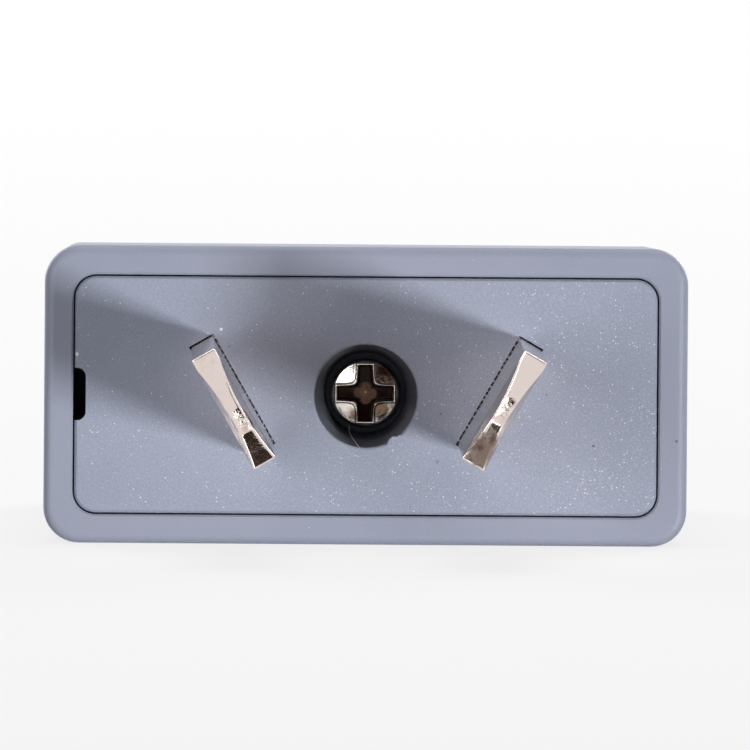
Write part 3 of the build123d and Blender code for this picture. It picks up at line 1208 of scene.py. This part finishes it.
@dataclass
class MouthBurr:
    """A small burr that stands into the well from the lower right of its mouth."""

    mouth_radius: float = 2.72
    bearing: float = -57.0
    reach: float = 10.0  # degrees to each side
    inward: float = 0.24
    height: float = 0.09
    foot: float = 0.03  # how far it reaches into the wall
    sunk: float = 0.05  # depth of its middle behind the face
    rags: tuple[tuple[float, float, float], ...] = (  # height, pace and start of each sine
        (0.22, 4.0, 2.2),
        (0.08, 9.0, 0.0),
        (0.04, 17.0, 2.0),
    )

    def mesh(self) -> tuple[np.ndarray, np.ndarray]:
        """A thin lens bent round the mouth, with a ragged inner edge.

        One parameter runs along the mouth and one turns round the lens. Its size follows
        the square root of the distance from both ends, and three sines make it ragged.

        Returns:
            Vertices and quads.
        """
        t = np.linspace(-1.0, 1.0, 40)
        turn = np.linspace(0.0, 2 * math.pi, 24, endpoint=False)
        size = np.sqrt(np.maximum(1.0 - t**2, 0.0))
        ragged = sum((high * np.sin(waves * t + start) for high, waves, start in self.rags), 1.0)
        bulge = self.inward * (size * ragged)[:, None] * (0.5 - 0.5 * np.cos(turn))
        radial = self.mouth_radius + self.foot - bulge
        depth = self.sunk - self.height * size[:, None] * np.sin(turn)
        bearing = np.radians(self.bearing + self.reach * t)[:, None]
        points = np.stack([radial * np.cos(bearing), depth + 0 * bearing, radial * np.sin(bearing)], axis=-1)
        points[0] = points[0].mean(axis=0)
        points[-1] = points[-1].mean(axis=0)
        return closed_turning(points)

    def build(self, finish: bpy.types.Material) -> bpy.types.Object:
        """Makes the burr.

        Args:
            finish: The plate's material.

        Returns:
            The piece.
        """
        return fit_piece(make_piece("well_burr", *self.mesh()), finish)


@dataclass
class SlotFlash:
    """Bits of flash that bridge the gap between a flat pin's inner face and its slot."""

    pin: FlatPin
    slot_play: float = 0.12  # how much wider the slot is than the pin
    count: int = 21
    reach: float = 2.95  # last bit's place across the pin's width
    stray: float = 0.06
    half_size: Place = (0.05, 0.07, 0.05)  # across the width, over the gap and in depth

    def mesh(self) -> tuple[np.ndarray, np.ndarray]:
        """A row of small ellipsoids, nearly even, whose sizes and places stray by a sine.

        Returns:
            Vertices and quads.
        """
        bit = np.arange(self.count)
        places = np.linspace(-self.reach, self.reach, self.count) + self.stray * np.sin(7.3 * bit)
        sizes = 1.0 + 0.4 * np.sin(4.1 * bit + 1.0)
        polar = np.linspace(0.0, math.pi, 7)[:, None]
        turn = np.linspace(0.0, 2 * math.pi, 10, endpoint=False)[None, :]
        rings = (np.sin(polar) * np.cos(turn), np.sin(polar) * np.sin(turn))
        ball = np.stack(np.broadcast_arrays(np.cos(polar), *rings))
        ball[1:, [0, -1]] = 0.0
        across_dir, outward_dir = self.pin.axes()
        middle = np.array([self.pin.side.value * self.pin.middle, self.half_size[2], 0.0])
        inner = -(self.pin.thickness + self.slot_play / 2) / 2
        shells = []
        for place, size in zip(places, sizes):
            along = place + self.half_size[0] * size * ball[0]
            over = inner + self.half_size[1] * ball[1]
            points = middle + along[..., None] * across_dir + over[..., None] * outward_dir
            points[..., 1] += self.half_size[2] * ball[2]
            shells.append(closed_turning(points))
        vertices = np.concatenate([shell[0] for shell in shells])
        quads = np.concatenate([shell[1] + i * len(shell[0]) for i, shell in enumerate(shells)])
        return vertices, quads

    def build(self, finish: bpy.types.Material) -> bpy.types.Object:
        """Makes the row of bits.

        Args:
            finish: The plate's material.

        Returns:
            The piece.
        """
        piece = make_piece(f"slot_flash_{self.pin.side.word}", *self.mesh())
        return fit_piece(piece, finish)


# Camera, floor and light


@dataclass(frozen=True)
class SoftBox:
    """A rectangular lamp that faces the adapter.

    Its level is how bright a white card that faces the lamp looks in its light.
    """

    name: str
    azimuth: float  # degrees from the view along +Y, rising towards +X
    elevation: float
    width: float
    height: float
    level: float
    distance: float = 900.0

    def build(self) -> None:
        """Hangs the lamp: its watts follow its level and the square of its distance."""
        turn, rise = math.radians(self.azimuth), math.radians(self.elevation)
        away = Vector((math.sin(turn) * math.cos(rise), -math.cos(turn) * math.cos(rise), math.sin(rise)))
        data = bpy.data.lights.new(self.name, "AREA")
        data.shape = "RECTANGLE"
        data.size = self.width * MM
        data.size_y = self.height * MM
        data.energy = self.level * (math.pi * self.distance * MM) ** 2
        lamp = bpy.data.objects.new(self.name, data)
        lamp.location = away * self.distance * MM
        lamp.rotation_euler = away.to_track_quat("Z", "Y").to_euler()
        lamp.visible_camera = False
        bpy.context.scene.collection.objects.link(lamp)


@dataclass
class Studio:
    """Camera, floor, dark screen and lamps."""

    azimuth: float = -0.6
    elevation: float = 2.3
    roll: float = 0.45
    # a longer lens would put the adapter past the other views' clip end
    distance: float = 1400.0  # millimetres from the aim point; the lens is worked out from it
    frame_width: float = 38.42
    sensor: float = 36.0
    aim: Place = (0.46, 0.0, 1.09)
    draft: float = 1.75
    half_height: float = 7.65
    floor_half: float = 6000.0
    floor_gap: float = 0.02
    floor_tone: float = 0.8
    floor_glow: float = 0.78  # how much of the floor is plain white to the camera
    surroundings: float = 0.01
    bounce: float = 0.04  # share of its light that the floor throws back at the adapter
    screen_distance: float = 1100.0
    screen_half: float = 420.0
    screen_rise: float = 450.0
    screen_colour: Colour = (0.030, 0.019, 0.013)
    lamps: tuple[SoftBox, ...] = (
        SoftBox("right_key", 38.0, -13.0, 130.0, 150.0, 0.76),
        SoftBox("left_key", -31.0, 1.0, 320.0, 560.0, 0.38),
        SoftBox("front_fill", -8.5, 1.8, 110.0, 110.0, 0.03),
        SoftBox("top_box", 180.0, 78.0, 700.0, 700.0, 0.55),
        SoftBox("rear_right_box", 145.0, 22.0, 500.0, 500.0, 0.60),
        SoftBox("rear_left_box", -140.0, 22.0, 500.0, 500.0, 0.55),
    )

    def camera(self) -> None:
        """Stands the camera off the pin face, seen a little from above and from the left."""
        turn, rise = math.radians(self.azimuth), math.radians(self.elevation)
        back = Vector((math.sin(turn) * math.cos(rise), -math.cos(turn) * math.cos(rise), math.sin(rise)))
        right = Vector((0, 0, 1)).cross(back).normalized()
        up = back.cross(right)
        basis = Matrix((right, up, back)).transposed().to_4x4()
        place = (Vector(self.aim) + back * self.distance) * MM
        data = bpy.data.cameras.new("camera")
        data.sensor_width = self.sensor
        data.lens = self.sensor * self.distance / self.frame_width
        data.clip_start = 0.01
        data.clip_end = 50.0
        camera = bpy.data.objects.new("camera", data)
        rolled = Matrix.Rotation(math.radians(self.roll), 4, "Z")
        camera.matrix_world = Matrix.Translation(place) @ basis @ rolled
        bpy.context.scene.collection.objects.link(camera)
        bpy.context.scene.camera = camera

    def plane(self, name: str, corners: list[Place]) -> bpy.types.Object:
        """Makes a flat sheet of the stage.

        Args:
            name: The sheet's name.
            corners: Four corners in millimetres.

        Returns:
            The sheet.
        """
        mesh = bpy.data.meshes.new(name)
        mesh.from_pydata([tuple(c * MM for c in corner) for corner in corners], [], [(0, 1, 2, 3)])
        sheet = bpy.data.objects.new(name, mesh)
        bpy.context.scene.collection.objects.link(sheet)
        return sheet

    def floor(self) -> None:
        """Lays the floor against the drafted underside that the adapter rests on.

        The floor is a sheet of light-table cloth: the lamps that stand below its level
        shine up through it, and it still takes the adapter's shadow from the others.
        """
        slope = math.tan(math.radians(self.draft))
        h = self.floor_half
        base = -self.half_height - self.floor_gap
        front, back = base - h * slope, base + h * slope
        corners = [(-h, -h, front), (h, -h, front), (h, h, back), (-h, h, back)]
        sheet = self.plane("floor", corners)
        sheet.visible_shadow = False
        graph = Graph("pale_floor")
        path = graph.add("LightPath")
        tone = graph.blend(path.outputs["Is Diffuse Ray"], (self.floor_tone,) * 3, (self.bounce,) * 3)
        matte = graph.add("BsdfDiffuse", {"Color": tone})
        lit = graph.add("Emission", {"Color": (1.0, 1.0, 1.0, 1.0), "Strength": 1.0})
        straight = (path.outputs["Is Camera Ray"], path.outputs["Is Transmission Ray"])
        seen = graph.math("ADD", *straight, clamp=True)
        share = graph.math("MAXIMUM", graph.times(seen, self.floor_glow), path.outputs["Is Glossy Ray"])
        mix = graph.add("MixShader", {0: share, 1: matte.outputs[0], 2: lit.outputs[0]})
        dress(sheet, graph.end(mix))

    def screen(self) -> None:
        """Stands a dark brown screen before the pin face, so that metal shows a dark side.

        The camera looks through it: only reflections, scattered light and shadows meet it.
        """
        depth, half, high = -self.screen_distance, self.screen_half, self.screen_rise
        low = -self.half_height - self.screen_distance * math.tan(math.radians(self.draft))
        corners = [(-half, depth, low), (half, depth, low), (half, depth, high), (-half, depth, high)]
        sheet = self.plane("dark_screen", corners)
        sheet.visible_camera = False
        graph = Graph("dark_screen")
        glow = graph.add("Emission", {"Color": (*self.screen_colour, 1.0), "Strength": 1.0})
        dress(sheet, graph.end(glow))

    def world(self) -> None:
        """Even surroundings: white to the camera and in reflections, and dim as light."""
        world = bpy.data.worlds.new("surroundings")
        bpy.context.scene.world = world
        world.use_nodes = True
        tree = world.node_tree
        tree.nodes.clear()
        path = tree.nodes.new("ShaderNodeLightPath")
        seen = path.outputs["Is Camera Ray"]
        for kind in ("Is Glossy Ray", "Is Transmission Ray"):
            either = tree.nodes.new("ShaderNodeMath")
            either.operation = "MAXIMUM"
            tree.links.new(seen, either.inputs[0])
            tree.links.new(path.outputs[kind], either.inputs[1])
            seen = either.outputs[0]
        mix = tree.nodes.new("ShaderNodeMixShader")
        tree.links.new(seen, mix.inputs[0])
        for index, strength in ((1, self.surroundings), (2, 1.0)):
            light = tree.nodes.new("ShaderNodeBackground")
            light.inputs["Color"].default_value = (1.0, 1.0, 1.0, 1.0)
            light.inputs["Strength"].default_value = strength
            tree.links.new(light.outputs[0], mix.inputs[index])
        out = tree.nodes.new("ShaderNodeOutputWorld")
        tree.links.new(mix.outputs[0], out.inputs["Surface"])

    def build(self) -> None:
        """Sets up the whole studio."""
        self.camera()
        self.floor()
        self.screen()
        self.world()
        for lamp in self.lamps:
            lamp.build()
        bpy.context.scene.view_settings.view_transform = "Standard"


def dress_solids(nodes: dict[str, bpy.types.Object], finishes: Finishes) -> dict[str, bpy.types.Material]:
    """Gives each solid that stays in view its finish.

    Args:
        nodes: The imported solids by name.
        finishes: The adapter's finishes.

    Returns:
        The materials by the start of the names that they dress.
    """
    chosen = {
        "housing": finishes.housing,
        "base_plate": finishes.plate,
        "contact_strap": finishes.spring,
        "middle_leaf": finishes.spring,
        "contact_rivet": finishes.rivet,
    }
    made = {start: finish.material() for start, finish in chosen.items()}
    for start, material in made.items():
        for name, node in nodes.items():
            if name.startswith(start):
                dress(node, material)
                LOG.info("dressed %s", name)
    return made


def main() -> None:
    """Builds the adapter's looks in order."""
    logging.basicConfig(level=logging.INFO, format="%(message)s")
    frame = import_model()
    Studio().build()
    materials = dress_solids(frame["nodes"], Finishes())
    pins = [FlatPin(side=Side.LEFT, dish_middle=-1.2), FlatPin(side=Side.RIGHT, dish_middle=-0.6)]
    pieces = [pin.build() for pin in pins]
    pieces += [SlotFlash(pin).build(materials["base_plate"]) for pin in pins]
    pieces.append(CaseScrew().build())
    pieces.append(MouthBurr().build(materials["base_plate"]))
    pieces.append(Whisker().build(Finishes().hair.material()))
    for piece in pieces:
        LOG.info("built %s", piece.name)


if __name__ == "__main__":
    main()
